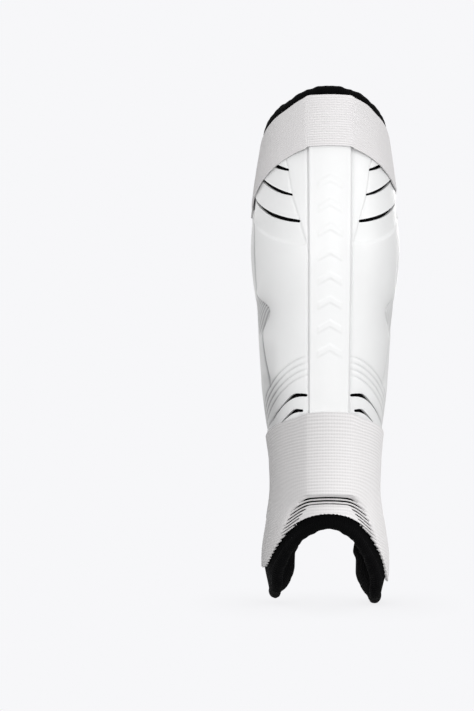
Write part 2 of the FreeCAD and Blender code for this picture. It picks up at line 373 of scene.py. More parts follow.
def two_sided(outside, inside, faces, back=True):
    """A sheet's outer face, its rim and, if asked, its inner face: points, faces and the points' origins."""
    count = len(outside)
    rim = rim_edges(faces)
    used = list(range(count)) if back else sorted({a for edge in rim for a in edge})
    shift = {a: count + number for number, a in enumerate(used)}
    whole = list(faces)
    if back:
        whole += [[shift[a] for a in reversed(face)] for face in faces]
    whole += [[b, a, shift[a], shift[b]] for a, b in rim]
    return np.vstack([outside, inside[used]]), whole, np.concatenate([np.arange(count), used])


def sheet_piece(name, s, z, faces, outer, inner, material, uv, back=True, **looks):
    """A layer of the form between two offsets."""
    points, whole, order = two_sided(place(s, z, outer), place(s, z, inner), faces, back)
    return make(name, points, whole, material, uv[order], **looks)


def finish_piece(obj, body, slot, *nodes):
    """Says what a piece rides on and hides the CAD nodes it stands for; slot is not used."""
    if body:
        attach(obj, body)
    if nodes:
        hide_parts(*nodes)
    return obj


# ---------------------------------------------------------------- materials

class Tree:
    """A node tree, built one call at a time."""

    def __init__(self, owner):
        owner.use_nodes = True
        self.tree = owner.node_tree

    def add(self, kind, **settings):
        node = self.tree.nodes.new(kind)
        for name, value in settings.items():
            setattr(node, name, value)
        return node

    def link(self, source, target):
        self.tree.links.new(source, target)

    def math(self, operation, *values):
        node = self.add("ShaderNodeMath", operation=operation)
        for number, value in enumerate(values):
            if isinstance(value, (int, float)):
                node.inputs[number].default_value = value
            else:
                self.link(value, node.inputs[number])
        return node.outputs[0]

    def ramp(self, factor, *stops):
        """Colours or grey levels along a factor, from (place, colour or level) stops."""
        node = self.add("ShaderNodeValToRGB")
        for spot, _ in stops[1:-1]:
            node.color_ramp.elements.new(spot)
        for element, (spot, colour) in zip(node.color_ramp.elements, stops):
            element.position = spot
            element.color = (*(colour if isinstance(colour, tuple) else (colour,) * 3), 1)
        self.link(factor, node.inputs[0])
        return node.outputs[0]

    def mix(self, factor, low, high):
        """One colour where the factor is 0, the other where it is 1."""
        node = self.add("ShaderNodeMix", data_type="RGBA")
        self.link(factor, node.inputs[0])
        for value, socket in ((low, node.inputs[6]), (high, node.inputs[7])):
            if isinstance(value, tuple):
                socket.default_value = (*value, 1)
            else:
                self.link(value, socket)
        return node.outputs[2]


class Finish(Tree):
    """A material and its node tree."""

    def __init__(self, name, roughness, specular=0.5, **sockets):
        self.material = bpy.data.materials.new(name)
        super().__init__(self.material)
        self.shader = self.tree.nodes["Principled BSDF"]
        self.shader.inputs["Roughness"].default_value = roughness
        self.shader.inputs["Specular IOR Level"].default_value = specular
        for socket, value in sockets.items():
            self.shader.inputs[socket.replace("_", " ")].default_value = value

    def surface(self):
        """Distance round the form and height, in millimetres."""
        node = self.add("ShaderNodeUVMap", uv_map="surface")
        split = self.add("ShaderNodeSeparateXYZ")
        self.link(node.outputs[0], split.inputs[0])
        return [self.math("MULTIPLY", split.outputs[axis], 100.0) for axis in (0, 1)]

    def noise(self, scale, detail=3.0, roughness=0.55):
        """Cloudy noise in object space, with features about 1 / scale metres across."""
        place_node = self.add("ShaderNodeTexCoord")
        node = self.add("ShaderNodeTexNoise")
        node.inputs["Scale"].default_value = scale
        node.inputs["Detail"].default_value = detail
        node.inputs["Roughness"].default_value = roughness
        self.link(place_node.outputs["Object"], node.inputs["Vector"])
        return node.outputs["Fac"]

    def wave(self, coordinate, pitch, shift=0.0):
        """A sine wave along a coordinate in millimetres."""
        return self.math("SINE", self.math("MULTIPLY_ADD", coordinate, TAU / pitch, shift))

    def colour(self, factor, dark, light, low=0.3, high=0.7):
        """Base colour between two colours."""
        self.link(self.ramp(factor, (low, dark), (high, light)), self.shader.inputs["Base Color"])

    def rough(self, factor, low, high):
        node = self.add("ShaderNodeMapRange")
        node.inputs["To Min"].default_value = low
        node.inputs["To Max"].default_value = high
        self.link(factor, node.inputs["Value"])
        self.link(node.outputs[0], self.shader.inputs["Roughness"])

    def bump(self, *heights):
        """Surface relief from heights given as (value, height in millimetres)."""
        normal = None
        for value, height in heights:
            node = self.add("ShaderNodeBump")
            node.inputs["Distance"].default_value = height * MM
            self.link(value, node.inputs["Height"])
            if normal:
                self.link(normal, node.inputs["Normal"])
            normal = node.outputs[0]
        self.link(normal, self.shader.inputs["Normal"])


def plastic():
    nodes = Finish("shell_plastic", 0.42, 0.4, Coat_Weight=0.1, Coat_Roughness=0.3)
    cloud = nodes.noise(45, 4)
    grain = nodes.noise(2600, 2)
    white = nodes.ramp(cloud, (0.3, (0.71, 0.713, 0.715)), (0.7, (0.73, 0.733, 0.735)))
    # Painted shade: the base colour is mixed towards near-black where the shell's painted shade attribute is
    # high, standing in for the shade in its grooves, creases and on its left flank.
    painted_shade = nodes.add("ShaderNodeAttribute", attribute_name="painted_shade").outputs["Fac"]
    nodes.link(nodes.mix(painted_shade, white, (0.1, 0.1, 0.105)), nodes.shader.inputs["Base Color"])
    nodes.rough(nodes.noise(220, 4), 0.36, 0.5)
    nodes.bump((grain, 0.02), (cloud, 0.12))
    return nodes.material


def elastic(name, light, dark, rib, thread, rib_height):
    """Knitted elastic: rubber ribs one way and fine warp threads the other."""
    nodes = Finish(name, 0.86, 0.25, Sheen_Weight=0.25, Sheen_Roughness=0.5)
    s, z = nodes.surface()
    drift = nodes.noise(160, 3)
    wavy = nodes.math("MULTIPLY_ADD", drift, 0.5, s)
    warp = nodes.wave(wavy, thread)
    ribs = nodes.wave(z, rib)
    knit = nodes.math("MULTIPLY", nodes.wave(wavy, thread / 2), nodes.wave(z, rib / 3))
    fuzz = nodes.noise(2600, 3, 0.6)
    tone = nodes.math("ADD", nodes.math("MULTIPLY_ADD", ribs, 0.12, 0.22),
                      nodes.math("MULTIPLY_ADD", warp, 0.07, nodes.math("MULTIPLY", fuzz, 0.5)))
    nodes.colour(tone, dark, light, 0.15, 0.75)
    nodes.bump((warp, 0.02), (ribs, rib_height), (knit, 0.012), (fuzz, 0.02))
    return nodes.material


def knit(name, light, dark, rib, row, sheen=0.15):
    """Knitted fabric with fine ribs."""
    nodes = Finish(name, 0.95, 0.03, Sheen_Weight=sheen, Sheen_Roughness=0.45)
    s, z = nodes.surface()
    ribs = nodes.wave(nodes.math("MULTIPLY_ADD", nodes.noise(90, 2), 0.8, s), rib)
    loops = nodes.wave(z, row)
    weave = nodes.math("MULTIPLY", ribs, loops)
    fuzz = nodes.noise(2800, 3, 0.7)
    tone = nodes.math("ADD", nodes.math("MULTIPLY_ADD", weave, 0.12, 0.05), nodes.math("MULTIPLY", fuzz, 0.9))
    nodes.colour(tone, dark, light, 0.3, 0.75)
    nodes.bump((ribs, 0.14), (weave, 0.1), (fuzz, 0.12))
    return nodes.material


def fuzzy(name, light, dark, scale, height):
    """Loop or hook tape: a dense field of small tufts."""
    nodes = Finish(name, 0.95, 0.15, Sheen_Weight=0.3, Sheen_Roughness=0.6)
    tufts = nodes.add("ShaderNodeTexVoronoi")
    tufts.inputs["Scale"].default_value = scale
    coordinates = nodes.add("ShaderNodeTexCoord")
    nodes.link(coordinates.outputs["Object"], tufts.inputs["Vector"])
    fuzz = nodes.noise(2400, 4, 0.75)
    tone = nodes.math("ADD", nodes.math("MULTIPLY", tufts.outputs["Distance"], 0.6),
                      nodes.math("MULTIPLY", fuzz, 0.6))
    nodes.colour(tone, dark, light, 0.25, 0.85)
    nodes.bump((tufts.outputs["Distance"], height), (fuzz, 0.3))
    return nodes.material


def foam():
    nodes = Finish("liner_foam", 0.95, 0.2)
    cells = nodes.noise(900, 4, 0.7)
    nodes.colour(cells, (0.016, 0.016, 0.018), (0.034, 0.034, 0.037))
    nodes.bump((cells, 0.4))
    return nodes.material


def thread(name, light, dark):
    nodes = Finish(name, 0.6, 0.35, Sheen_Weight=0.2)
    twist = nodes.noise(3500, 2)
    nodes.colour(twist, dark, light)
    nodes.bump((twist, 0.05))
    return nodes.material


PLASTIC = plastic()
# Both bands are white elastic; the lower one's lighter tone is partly painted light, making up for the left
# lamp that lights only the shell and the upper band.
UPPER_ELASTIC = elastic("upper_elastic", (0.685, 0.671, 0.675), (0.612, 0.598, 0.603), 1.8, 1.5, 0.04)
LOWER_ELASTIC = elastic("lower_elastic", (0.815, 0.8, 0.803), (0.718, 0.703, 0.706), 2.1, 1.7, 0.04)
WEBBING = elastic("tab_webbing", (0.79, 0.785, 0.785), (0.64, 0.635, 0.635), 1.2, 1.0, 0.1)
BLACK_KNIT = knit("liner_knit", (0.0042, 0.0042, 0.0046), (0.0010, 0.0010, 0.0012), 1.5, 1.1, 0.01)
BINDING_KNIT = knit("binding_knit", (0.0046, 0.0046, 0.0050), (0.0010, 0.0010, 0.0012), 1.7, 1.2, 0.015)
LINING_KNIT = knit("lining_knit", (0.026, 0.026, 0.028), (0.012, 0.012, 0.013), 2.2, 2.0, 0.1)
LOOP_TAPE = fuzzy("loop_tape", (0.74, 0.73, 0.73), (0.56, 0.55, 0.55), 1500, 0.35)
HOOK_TAPE = fuzzy("hook_tape", (0.70, 0.70, 0.70), (0.42, 0.42, 0.42), 900, 0.5)
FOAM = foam()
WHITE_THREAD = thread("white_thread", (0.82, 0.81, 0.81), (0.66, 0.65, 0.65))


# ---------------------------------------------------------------- the hard shell

CREASE = curve_through([(37, 318), (33, 304.5), (30.4, 297), (26.8, 279.5), (20.7, 261.5), (16.0, 247)])
LOUVRES = [
    curve_through([(24, 315), (33, 317), (45, 321), (60, 327)]),
    curve_through([(30.3, 296.9), (37, 298.9), (44, 301.3), (52, 304.4), (62, 309)]),
    curve_through([(26.6, 279.8), (34, 281.9), (42, 284.8), (51, 288.6), (60, 292.6), (74, 299)]),
    curve_through([(20.8, 261.9), (29, 263.3), (38, 265.6), (46, 268.2), (55, 271.8), (66, 276.6),
                   (84, 284)]),
    curve_through([(14, 246.3), (26, 247.7), (36, 249.8), (45, 252.4), (54, 255.8), (66, 261), (79, 267.5)]),
]
# Slots as (distance round, height, half width).
SLOTS = [
    curve_through([(30.0, 296.9, 0.7), (37, 298.9, 1.15), (44, 301.3, 1.35), (52, 304.4, 1.2),
                   (60, 308, 0.8)]),
    curve_through([(26.7, 279.9, 0.6), (34, 281.9, 1.0), (42, 284.8, 1.2), (51, 288.6, 1.3), (60, 292.6, 1.3),
                   (68, 296.2, 1.2), (76, 300, 0.8)]),
    curve_through([(21.2, 262.0, 0.85), (29, 263.3, 1.05), (38, 265.6, 1.2), (46, 268.2, 1.3),
                   (55, 271.8, 1.3), (66, 276.6, 1.25), (76, 281.0, 1.25), (84, 284.8, 1.1),
                   (91, 288.4, 0.8)]),
    curve_through([(15.8, 145.8, 0.9), (20, 145.9, 1.0), (24.4, 145.4, 1.3), (28.2, 143.6, 1.1),
                   (32.5, 140.6, 0.85), (41, 134.2, 0.75), (47.5, 129.4, 0.62), (55, 125.2, 0.5),
                   (62.5, 121.8, 0.42), (69, 119.4, 0.36)]),
    curve_through([(18.6, 135.3, 0.8), (21.5, 135.4, 0.95), (24.4, 135.0, 1.2), (27.2, 133.6, 0.95),
                   (30.5, 131.4, 0.8), (34.5, 128.6, 0.65), (38, 126, 0.5), (43, 122.6, 0.45)]),
]
TOP_RIB = curve_through([
    (14, 171.9), (20, 170.6), (27, 167.6), (34, 163.6), (40, 159.6), (47, 154.6), (54, 149), (61, 142.5),
    (67, 136), (74, 128),
])
LOW_RIB = curve_through([
    (14, 159.2), (20, 157.6), (27, 154.2), (32, 151), (37, 147.4), (43, 142.6), (49, 137.6), (55, 132.5),
    (61, 127.8), (68, 122.5),
])
PLATE_SIDE = curve_through([
    (80, 268), (75, 262.5), (72.2, 256), (71, 245), (71, 232), (71.8, 221), (74.5, 215.6), (68, 212.2),
    (60, 209.6), (53.5, 207.2), (49.6, 203.4), (50.6, 199), (55, 195), (59.6, 191), (62.2, 186), (61.2, 180),
    (58.4, 172), (54.6, 163.5), (51, 156), (49, 150),
])
CHEVRONS = [290.0 - 16.0 * number for number in range(8)]


def spine_half_width(z):
    return np.interp(z, [60, 139, 309, 360], [13.6, 14.1, 15.1, 15.4])


def spine_relief(u, z):
    """The raised centre strip, with a column of low chevrons."""
    edge = u - spine_half_width(z)
    height = 2.7 * (1 - smooth(edge, -2.0, 0.5)) - 0.6 * bump_at(edge - 0.4, 0.8)
    height += 0.25 * bump_at(edge + 2.4, 1.0)
    chevron = np.zeros(u.shape)
    for top in CHEVRONS:
        rise = z - (top - 0.62 * u)
        stroke = smooth(rise, -2.6, -1.9) * (1 - smooth(rise, 1.9, 2.6)) * (1 - smooth(u, 7.2, 8.0))
        chevron = np.maximum(chevron, stroke)
    return height + 0.3 * chevron


def louvre_relief(u, z):
    """Overlapping panels beside the spine near the top, each proud at its lower edge."""
    beyond = side_gap(u, z, CREASE)
    gaps = [side_gap(u, z, curve) for curve in LOUVRES]
    height = np.zeros(u.shape)
    for number in range(3):
        above, below = -gaps[number], gaps[number + 1]
        panel = (above > 0) & (below > 0)
        share = above / np.maximum(above + below, 1e-6)
        lip = 1.25 * share**1.4 - 0.55 * bump_at(below, 0.55) - 0.18 * bump_at(below - 2.6, 0.55)
        height = np.where(panel, lip, height)
    above, below = -gaps[3], gaps[4]
    last = (above > 0) & (below > -2.5)
    height = np.where(last, 0.1 - 0.35 * smooth(above, 0, 10), height)
    inside_plate = smooth(-gaps[4], -1.1, 1.1) * (gaps[3] < 0)
    height += 0.95 * inside_plate
    fade = smooth(beyond, -0.2, 0.9)
    flat = 0.75 * smooth(z, 240, 250)
    plate = 0.75
    height = np.where(inside_plate > 0.999, plate, np.minimum(height, 1.4))
    groove = 0.7 * bump_at(beyond, 0.6) * smooth(z, 246, 250)
    upper = smooth(z, 243, 249)
    return (height * fade + flat * (1 - fade)) * upper + plate * (1 - upper) - groove


def rib_grooves(u, z):
    """Fine grooves that sweep outwards and down above the lower vents, 1 at their deepest."""
    above, below = -side_gap(u, z, TOP_RIB), side_gap(u, z, LOW_RIB)
    share = above / np.where(np.abs(above + below) < 1e-6, 1e-6, above + below)
    band = smooth(share, -0.12, 0.02) * (1 - smooth(share, 0.98, 1.12))
    phase = np.abs((share * 3 + 0.5) % 1.0 - 0.5)
    groove = np.exp(-((phase / 0.14) ** 2))
    return groove * band * (0.4 + 0.6 * smooth(u, 15.5, 22)) * (1 - smooth(u, 72, 82))


def vent_relief(u, z):
    """The lower vents' tongues: proud at their upper edge, sunk towards the next vent."""
    height = np.zeros(u.shape)
    above = side_gap(u, z, SLOTS[3])
    height -= 0.75 * np.where(above > 0, np.exp(-above / 2.2), 0) * smooth(u, 15, 17)
    height += 0.55 * np.where(above < 0, np.exp(above / 3.0), 0) * smooth(u, 15.5, 17)
    above = side_gap(u, z, SLOTS[4])
    reach = (1 - smooth(u, 36, 42)) * smooth(u, 16.5, 18.5)
    height -= 0.6 * np.where(above > 0, np.exp(-above / 1.8), 0) * reach
    height += 0.5 * np.where(above < 0, np.exp(above / 2.5), 0) * reach
    return height


def side_relief(u, z):
    """The plate's rolled side, the rim behind it and the ribbed notch, with painted shade along the crease,
    in the notch and towards the edge.
    """
    outside = side_gap(u, z, PLATE_SIDE)
    span = smooth(z, 148, 158) * (1 - smooth(z, 262, 270))
    roll = np.where(outside < 0, -0.7 * np.exp(outside / 3), -0.7)
    line = bump_at(outside - 1.6, 1.5 + 0.6 * smooth(z, 200, 225))
    beyond = np.where(outside > 0, -0.6 * smooth(outside, 0, 0.9) + 0.09 * np.minimum(outside, 11), 0)
    notch = smooth(z, 184, 192) * (1 - smooth(z, 209, 214)) * smooth(outside, 0, 0.9)
    slant = (u - 48.9) * 0.72 + (z - 203.0) * 0.69
    ribs = np.sin(TAU * slant / 3.2) * smooth(outside, 0.2, 1.4)
    height = roll + beyond - 0.5 * line - notch * (0.7 - 0.35 * ribs)
    # Painted shade: darker along the crease line and in the notch, lighter and darker by its ribs, and darker
    # towards the plate's edge and on the rim beyond it.
    shade = (0.55 + 0.1 * smooth(z, 200, 180)) * line * (1 - notch) + notch * (0.32 - 0.2 * ribs)
    shade += np.where(outside < 0, 0.28 * np.exp(outside / 8), 0.28)
    return height * span, shade * span


def shell_relief(s, z):
    u = np.abs(s)
    on_spine = 1 - smooth(u - spine_half_width(z), -0.5, 1.2)
    grooves = rib_grooves(u, z)
    side, shade = side_relief(u, z)
    crease = bump_at(to_path(u, z, SLOTS[3])[0], 1.1) * smooth(u, 34, 46)
    sides = louvre_relief(u, z) - 0.75 * grooves + vent_relief(u, z) + side - 0.75 - 0.5 * crease
    # Painted shade: cut to under a third on the right side, where the light falls, and added in the rib
    # grooves, more on the left, and along the lower vent's crease; the lower left flank and the left side
    # below the ribs are painted darker too, as if in shade.
    shade = shade * np.where(s > 0, 0.3, 1.0) + (0.2 + 0.25 * smooth(-s, 28, 50)) * grooves + 0.65 * crease
    shade += 0.5 * smooth(-s, 16, 56) * (1 - smooth(z, 144, 164))
    shade += 0.12 * smooth(-s, 36, 48) * (1 - smooth(z, 175, 190))
    shade = np.minimum(shade, 0.85)
    return spine_relief(u, z) + sides * (1 - on_spine), shade * (1 - on_spine)


def slot_gap(s, z):
    """How far a point is from the nearest slot, negative inside it."""
    nearest = np.full(s.shape, 1e9)
    for slot in SLOTS:
        gap, along, _, _ = to_path(np.abs(s), z, slot)
        lengths = np.concatenate([[0], np.cumsum(np.hypot(*np.diff(slot[:, :2], axis=0).T))])
        nearest = np.minimum(nearest, gap - 1.1 * np.interp(along, lengths, slot[:, 2]))
    return nearest


def shell():
    rows = np.concatenate([np.arange(34, 112, 2.6), np.arange(112, 314, 0.7), np.arange(314, 360, 2.6)])
    columns = np.arange(-107, 107.3, 0.64)
    s, z = np.meshgrid(columns, rows)
    edge = unrolled(SHELL_EDGE)
    keep, _ = depth_inside(s, z, edge)
    keep = np.minimum(keep, slot_gap(s, z))
    s, z, faces = clipped(s, z, keep)
    margin, _ = depth_inside(s, z, edge)
    height, shade = shell_relief(s, z)
    height -= 0.5 * bump_at(margin, 0.7)
    skin = np.full(s.shape, -2.4)
    obj = sheet_piece("shell", s, z, faces, height, skin, PLASTIC, np.stack([s, z], 1), back=False)
    # The painted shade is kept on the mesh for the plastic to darken its base colour by.
    painted_shade = obj.data.attributes.new("painted_shade", "FLOAT", "POINT")
    shade = np.pad(shade, (0, len(obj.data.vertices) - len(shade)))
    painted_shade.data.foreach_set("value", shade.astype(np.float32))
    finish_piece(obj, "guard", "shell", "outer_shell")


# ---------------------------------------------------------------- the padded liner

LINER_PATH = unrolled(LINER_EDGE, 8)
SHELL_PATH = unrolled(SHELL_EDGE)


def past_shell(s, z):
    """How far the liner springs outwards once it is clear of the shell."""
    clear = smooth(-depth_inside(s, z, SHELL_PATH)[0], 0, 6)
    lobe = 0.85 * smooth(np.abs(s), 34, 56) * (0.1 + 0.9 * smooth(z, 2, 26))
    return 2.7 * clear * np.where(z > 200, 1.0, lobe)


def liner_grid(step):
    return np.meshgrid(np.arange(-106, 106.1, step), np.arange(-4, 357, step))


def liner_cells(step, inset):
    """The liner's grid, trimmed a little inside its edge."""
    s, z = liner_grid(step)
    return clipped(s, z, depth_inside(s, z, LINER_PATH)[0] - inset)


def liner_layer(name, step, inset, outer, inner, material, slot, node, back=True):
    s, z, faces = liner_cells(step, inset)
    return finish_piece(
        sheet_piece(name, s, z, faces, outer + past_shell(s, z), inner + past_shell(s, z), material,
                    np.stack([s, z], 1), back=back, sharp=60),
        "guard", slot, node,
    )


def quilt(s, z):
    """Soft blocks between sewn channels on the skin side."""
    across = np.abs(np.sin(math.pi * (s / 30.0 + 0.5)))
    down = np.abs(np.sin(math.pi * (z - 20) / 42.0))
    return 1.5 * (np.clip(across, 0, 1) ** 0.45) * (np.clip(down, 0, 1) ** 0.45)


def liner_binding():
    """The knitted tape that is rolled round the liner's edge."""
    s, z = liner_grid(0.9)
    keep, along = depth_inside(s, z, LINER_PATH)
    waves = 0.28 * np.sin(along / 3.1) + 0.2 * np.sin(along / 1.3 + 1)
    s, z, faces = clipped(s, z, np.minimum(keep + waves, 6.6 - keep))
    margin, along = depth_inside(s, z, LINER_PATH)
    waves = 0.28 * np.sin(along / 3.1) + 0.2 * np.sin(along / 1.3 + 1)
    inward = np.clip(margin + waves, 0, 4.4)
    half = np.sqrt(np.maximum(4.4**2 - (4.4 - inward) ** 2, 0)) * 4.0 / 4.4
    half = np.where(margin > 5.2, half - 0.5 * smooth(margin, 5.2, 6.6), half)
    half += 0.1 * np.sin(TAU * along / 1.7) * smooth(inward, 0.3, 1.5)
    middle = past_shell(s, z) - 6.1
    obj = sheet_piece("liner_edge", s, z, faces, middle + half, middle - half, BINDING_KNIT,
                      np.stack([along, margin], 1), sharp=70, weld=True)
    finish_piece(obj, "guard", "liner_fabric", "liner_binding")


def liner():
    liner_layer("liner_face", 2.0, 5.4, -2.55, -3.2, BLACK_KNIT, "liner_fabric", "liner_face_fabric",
                back=False)
    core = liner_layer("liner_core", 4.0, 3.8, -3.4, -8.7, FOAM, "foam", "liner_foam")
    s, z, faces = liner_cells(1.6, 5.4)
    margin, _ = depth_inside(s, z, LINER_PATH)
    puff = quilt(s, z) * smooth(margin, 6, 13)
    faces = [face[::-1] for face in faces]
    lift = past_shell(s, z)
    obj = sheet_piece("liner_back", s, z, faces, lift - 9.5 - puff, lift - 8.9, LINING_KNIT,
                      np.stack([s, z], 1), back=False, sharp=60)
    finish_piece(obj, "guard", "liner_fabric", "liner_lining")
    liner_binding()


def ankle_pads():
    """A soft pad for each ankle bone, long enough to fill its lobe."""
    for side, name in ((1, "ankle_pad_inner"), (-1, "ankle_pad_outer")):
        rings, turns = 26, 64
        radius = np.repeat(np.sin(np.linspace(0.01, math.pi / 2, rings)), turns)
        turn = np.tile(np.arange(turns) / turns * TAU, rings)
        height = 28.0 + 26.0 * radius * np.sin(turn)
        across = side * (distance_to(-4.0, 26.0) + 20.5 * radius * np.cos(turn))
        blunt, low = (2.4, 0.28) if side > 0 else (2.7, 0.24)
        dome = 15.0 * (1 - radius**blunt) ** (1.56 / blunt) * (1 - low * smooth(-height, -22, -2))
        dome -= 0.4 * bump_at(radius - 0.62, 0.04)
        lift = past_shell(across, height)
        faces = grid_faces(rings, turns, wrap=True) + [list(range(turns))[::-1]]
        if side < 0:
            faces = [face[::-1] for face in faces]
        obj = sheet_piece(name + "_cover", across, height, faces, lift - 8.9 - dome, lift - 8.6, BLACK_KNIT,
                          np.stack([across, height], 1), back=False, sharp=70)
        finish_piece(obj, "guard", "pad", name)


# ---------------------------------------------------------------- the elastic bands

def bridge(s, z):
    """How far a stretched band stands off the form where it crosses the spine."""
    beyond = np.clip((np.abs(s) - spine_half_width(z)) / 21.0, 0, 1)
    return 3.05 * (1 - beyond) ** 2


def upper_band():
    columns = np.arange(-distance_to(52.0, 278.0), distance_to(38.0, 286.0) + 0.1, 1.3)
    shares = np.linspace(0, 1, UPPER_RIBS * 6 + 1)
    top = line_height(columns, UPPER_BAND_TOP, 330)
    low = line_height(columns, UPPER_BAND_LOW, 295)
    s = np.tile(columns, len(shares))
    z = (low + (top - low) * shares[:, None]).ravel()
    share = np.repeat(shares, len(columns))
    rib = (0.05 + 0.14 * (1 - smooth(np.abs(s), 14, 19))) * np.cos(TAU * share * UPPER_RIBS)
    selvedge = 0.25 * (bump_at(share, 0.012) + bump_at(share - 1, 0.012))
    slack = 0.25 * np.sin(s / 17 + share * 3) * smooth(np.abs(s), 20, 50)
    z = z + np.minimum(np.abs(s) / 13, 1) ** 2 * (1 - smooth(np.abs(s), 13, 17))
    z = z + 9 * smooth(s, 62, 88) * (1 - share)
    z = z - 0.5 * bump_at(np.abs(s) - 9, 9) * smooth(z, 330, 340)
    outer = 1.6 + bridge(s, z) + rib - selvedge + slack * 0.6
    inner = 0.4 + bridge(s, z) + slack * 0.6
    faces = grid_faces(len(shares), len(columns))
    uv = np.stack([s, share * 37.8], 1)
    obj = sheet_piece("upper_band", s, z, faces, outer, inner, UPPER_ELASTIC, uv, sharp=50)
    finish_piece(obj, "guard", "elastic", "upper_front_band")


def step_height(s):
    """Height at which the lower band falls off the shell's lower edge."""
    return np.interp(np.abs(s), [0, 14.5, 20.5, 27.5, 31.5, 36, 44, 54, 64],
                     [78.9, 78.2, 74.2, 68.4, 62, 54.5, 45, 36, 30])


def drape(s, drop):
    """How far the lower band's ribs bend down towards its flanks, near the arch."""
    return -9.0 * smooth(np.abs(s), 12, 46) * smooth(drop, 34, 62)


def lower_band():
    columns = np.arange(-distance_to(38.0, 70.0), distance_to(28.0, 70.0) + 0.1, 1.25)
    drops = np.arange(0, 119, 0.35)
    top = line_height(columns, LOWER_BAND_TOP, 125)
    s, drop = np.meshgrid(columns, drops)
    drop = drop[::-1]
    z = top - drop
    edge = unrolled(LOWER_BAND_EDGE, 3)
    tooth = 0.7 * np.cos(TAU * (drop + drape(s, drop)) / LOWER_RIB) * smooth(np.abs(s), 14, 30)
    tooth += 0.25 * np.cos(TAU * s / 2.2)
    keep, _ = depth_inside(s, z, edge)
    keep = np.where(drop < 3, 1.0, keep + tooth * smooth(drop, 6, 14))
    drop = drop + drape(s, drop)
    fold = step_height(s) - z
    reach = 1 + smooth(np.abs(s), 12, 26)
    slit = 0.55 * smooth(fold, 0.1, 0.8) * (1 - smooth(fold, 4.5 * reach, 7.5 * reach))
    slit *= 1 - smooth(np.abs(s), 32, 44)
    groove = LOWER_RIB * (0.5 - np.abs((drop / LOWER_RIB + 0.5) % 1.0 - 0.5))
    keep = np.minimum(keep, np.where(slit > 0.05, groove - slit, 1.0))
    s, z, faces = clipped(s, z, keep)
    fall = np.interp(s, columns, top) - z
    drop = fall + drape(s, fall)
    step = step_height(s)
    soft = 1 + 4 * smooth(np.abs(s), 14, 34)
    on_shell = smooth(z - step, -1.6 * soft, 1.2 * soft)
    crown = 1 - smooth(np.abs(s), 26, 60)
    cover = on_shell * (0.4 + bridge(s, z)) + (1 - on_shell) * (0.4 - 2.1 * crown)
    loose = (1 - on_shell) * smooth(z - step, -13, -2) * crown
    rib = (0.08 + 0.45 * loose) * np.cos(TAU * drop / LOWER_RIB) + 0.04 * np.cos(TAU * s / 3.4)
    outer = cover + 1.25 + rib
    inner = cover + 0.05 * np.cos(TAU * drop / LOWER_RIB)
    corner = np.where(s < 0, 4.0, -2.0) * smooth(np.abs(s), 45, 62) * (1 - smooth(z, 12, 42))
    corner += 1.8 * (1 - smooth(np.abs(s), 13, 24)) * (1 - smooth(fall, 0, 16))
    uv = np.stack([s, -drop], 1)
    obj = sheet_piece("lower_band", s, z + corner, faces, outer, inner, LOWER_ELASTIC, uv, sharp=50)
    finish_piece(obj, "guard", "elastic", "lower_front_band")


# ---------------------------------------------------------------- rear straps, tabs and patches

class Strap:
    """One rear strap: the side view's lines of its edges, and places along it, back from the leg's axis."""

    def __init__(self, which, fabric, top, low, anchor, hinge_gap, loop, tab, overlap):
        self.which, self.fabric, self.top, self.low = which, fabric, top, low
        self.anchor, self.gap, self.loop, self.tab, self.overlap = anchor, hinge_gap, loop, tab, overlap

    def angle(self, y, side=-1):
        """Angle round the form at a place behind the axis, on the inner (1) or outer (-1) side."""
        middle = np.array([(self.top(y) + self.low(y)) / 2])
        _, depth, centre = sections(middle)
        turn = math.acos(float(np.clip((centre[0] - y) / (depth[0] + STRAP_OFFSET), -1, 1)))
        return turn if side > 0 else TAU - turn

    def strip(self, first, last, columns, rows, inset=0.0):
        """A grid of angles and heights between two angles, with its share across."""
        angles = np.linspace(first, last, columns)
        shares = np.linspace(0, 1, rows)
        heights = []
        for line, lift in ((self.low, inset), (self.top, -inset)):
            z = np.full(angles.shape, line(20.0))
            for _ in range(30):
                _, depth, centre = sections(z)
                found = np.array([line(y) for y in centre - (depth + STRAP_OFFSET) * np.cos(angles)])
                z = 0.5 * z + 0.5 * (found + lift)
            heights.append(z)
        z = heights[0] + (heights[1] - heights[0]) * shares[:, None]
        return np.tile(angles, (rows, 1)), z, np.repeat(shares[:, None], columns, axis=1)

    def layer(self, part, first, last, outer, inner, material, inset=0.0, ribbed=0.0, shape=None, sharp=50):
        """A curved strip of cloth between two angles and two offsets from the form."""
        rows, columns = STRAP_RIBS * 6 + 1, max(6, int(abs(last - first) / 0.022))
        angle, z, share = self.strip(first, last, columns, rows, inset)
        lift = ribbed * np.cos(TAU * share * STRAP_RIBS)
        if shape:
            outer, inner = shape(np.tile(np.linspace(0, 1, columns), (rows, 1)), outer, inner)
        uv = np.stack([(angle * 50).ravel(), (share * (z[-1, 0] - z[0, 0])).ravel()], 1)
        outside, inside = (at_angle(angle, z, offset).reshape(-1, 3) for offset in (outer + lift, inner))
        points, whole, order = two_sided(outside, inside, grid_faces(rows, columns))
        return make(f"{self.which}_{part}", points, whole, material, uv[order], sharp=sharp)

    def finish(self, obj, body, slot, *parts):
        """Finishes a piece that stands for this strap's own nodes."""
        finish_piece(obj, body, slot, *[f"{self.which}_{part}" for part in parts])


def line_of(points):
    ys, zs = zip(*points)
    return lambda y: float(np.interp(y, ys, zs))


STRAPS = [
    Strap("upper", UPPER_ELASTIC, line_of(UPPER_BAND_TOP), line_of(UPPER_BAND_LOW), anchor=(24.0, 38.0),
          hinge_gap=(38.0, 44.0), loop=(29.0, 52.0), tab=(53.0, 57.8), overlap=4.5),
    Strap("lower", LOWER_ELASTIC, lambda y: 98.0, lambda y: 56.0, anchor=(15.0, 28.0),
          hinge_gap=(28.0, 34.0), loop=(25.0, 40.0), tab=(40.8, 45.6), overlap=3.5),
]


